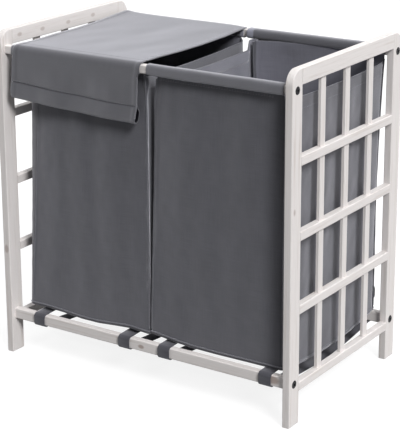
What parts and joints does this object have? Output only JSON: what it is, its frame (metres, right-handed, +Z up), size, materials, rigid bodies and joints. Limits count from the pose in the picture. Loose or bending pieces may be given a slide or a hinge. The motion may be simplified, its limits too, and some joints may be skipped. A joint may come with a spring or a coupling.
{
  "type": "laundry hamper with two bins",
  "caption": "Slatted wooden frame with two hanging cloth bags side by side, each with a fold-back cloth lid and front flap.",
  "frame": {"origin": "on the floor, under the middle of the frame", "axes": "+X along the long rails to the right as seen from the front, +Y from front to back, +Z up"},
  "size_m": [0.6212, 0.3865, 0.62],
  "materials": {
    "pine": "whitewashed, matt",
    "black_bolt": "black satin",
    "zinc_nut": "zinc plated",
    "bag_cloth": "plain woven, matt",
    "webbing": "woven strap"
  },
  "bodies": {
    "frame": {"left_front_leg": "pine", "left_rear_leg": "pine", "left_panel_rail": "pine", "left_bottom_rung": "pine", "left_lower_rung": "pine", "left_middle_rung": "pine", "left_upper_rung": "pine", "left_front_slat": "pine", "left_middle_slat": "pine", "left_rear_slat": "pine", "right_front_leg": "pine", "right_rear_leg": "pine", "right_panel_rail": "pine", "right_bottom_rung": "pine", "right_lower_rung": "pine", "right_middle_rung": "pine", "right_upper_rung": "pine", "right_front_slat": "pine", "right_middle_slat": "pine", "right_rear_slat": "pine", "front_top_rail": "pine", "front_bottom_rail": "pine", "rear_top_rail": "pine", "rear_bottom_rail": "pine", "left_front_top_bolt": "black_bolt", "left_front_top_nut": "zinc_nut", "left_front_bottom_bolt": "black_bolt", "left_front_bottom_nut": "zinc_nut", "left_rear_top_bolt": "black_bolt", "left_rear_top_nut": "zinc_nut", "left_rear_bottom_bolt": "black_bolt", "left_rear_bottom_nut": "zinc_nut", "right_front_top_bolt": "black_bolt", "right_front_top_nut": "zinc_nut", "right_front_bottom_bolt": "black_bolt", "right_front_bottom_nut": "zinc_nut", "right_rear_top_bolt": "black_bolt", "right_rear_top_nut": "zinc_nut", "right_rear_bottom_bolt": "black_bolt", "right_rear_bottom_nut": "zinc_nut", "left_bag": "bag_cloth", "left_bag_outer_strap": "webbing", "left_bag_inner_strap": "webbing", "right_bag": "bag_cloth", "right_bag_outer_strap": "webbing", "right_bag_inner_strap": "webbing"},
    "left_lid": {"left_lid": "bag_cloth"},
    "left_lid_flap": {"left_lid_flap": "bag_cloth"},
    "right_lid": {"right_lid": "bag_cloth"},
    "right_lid_flap": {"right_lid_flap": "bag_cloth"}
  },
  "joints": [
    {"name": "left_lid_hinge", "type": "hinge", "parent": "frame", "child": "left_lid", "pos_m": [-0.135, 0.187, 0.5965], "axis": [-1, 0, 0], "range_deg": [0, 270]},
    {"name": "left_flap_fold", "type": "hinge", "parent": "left_lid", "child": "left_lid_flap", "pos_m": [-0.135, -0.19, 0.5965], "axis": [-1, 0, 0], "range_deg": [0, 90]},
    {"name": "right_lid_hinge", "type": "hinge", "parent": "frame", "child": "right_lid", "pos_m": [0.143, 0.187, 0.5965], "axis": [1, 0, 0], "range_deg": [0, 270]},
    {"name": "right_flap_fold", "type": "hinge", "parent": "right_lid", "child": "right_lid_flap", "pos_m": [0.143, 0.187, 0.2195], "axis": [1, 0, 0], "range_deg": [0, 90]}
  ]
}
